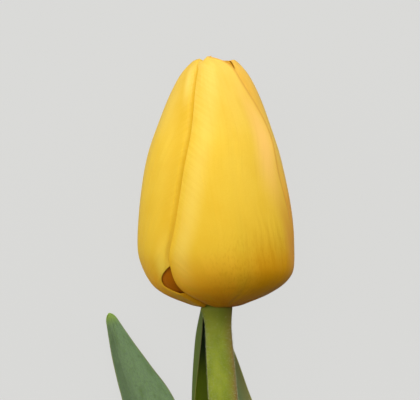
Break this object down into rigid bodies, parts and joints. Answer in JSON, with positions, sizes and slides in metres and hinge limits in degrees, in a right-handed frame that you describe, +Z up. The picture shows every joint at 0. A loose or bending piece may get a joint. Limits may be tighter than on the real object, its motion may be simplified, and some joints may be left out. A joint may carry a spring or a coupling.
{
  "type": "cut tulip",
  "caption": "Cut tulip lying on its side: a closed yellow bloom of overlapping petals on a green stem with long leaves.",
  "frame": {"origin": "on the surface that the tulip lies on, under the middle of its bounding box", "axes": "+Y along the stem towards the bloom's tip, +X to the right of the bloom as pictured, +Z up from the surface, towards the picture's camera"},
  "size_m": [0.0498, 0.2502, 0.0404],
  "materials": {
    "petal": "satin",
    "stem": "satin",
    "leaf": "matte",
    "pistil": "satin",
    "stamen": "matte"
  },
  "bodies": {
    "root": {"petal_outer_front": "petal", "petal_outer_left": "petal", "petal_outer_back": "petal", "petal_inner_right": "petal", "petal_inner_back": "petal", "petal_inner_front": "petal", "stem": "stem", "leaf_left": "leaf", "leaf_back": "leaf", "pistil": "pistil", "stamen_1": "stamen", "stamen_2": "stamen", "stamen_3": "stamen", "stamen_4": "stamen", "stamen_5": "stamen", "stamen_6": "stamen"}
  },
  "joints": []
}
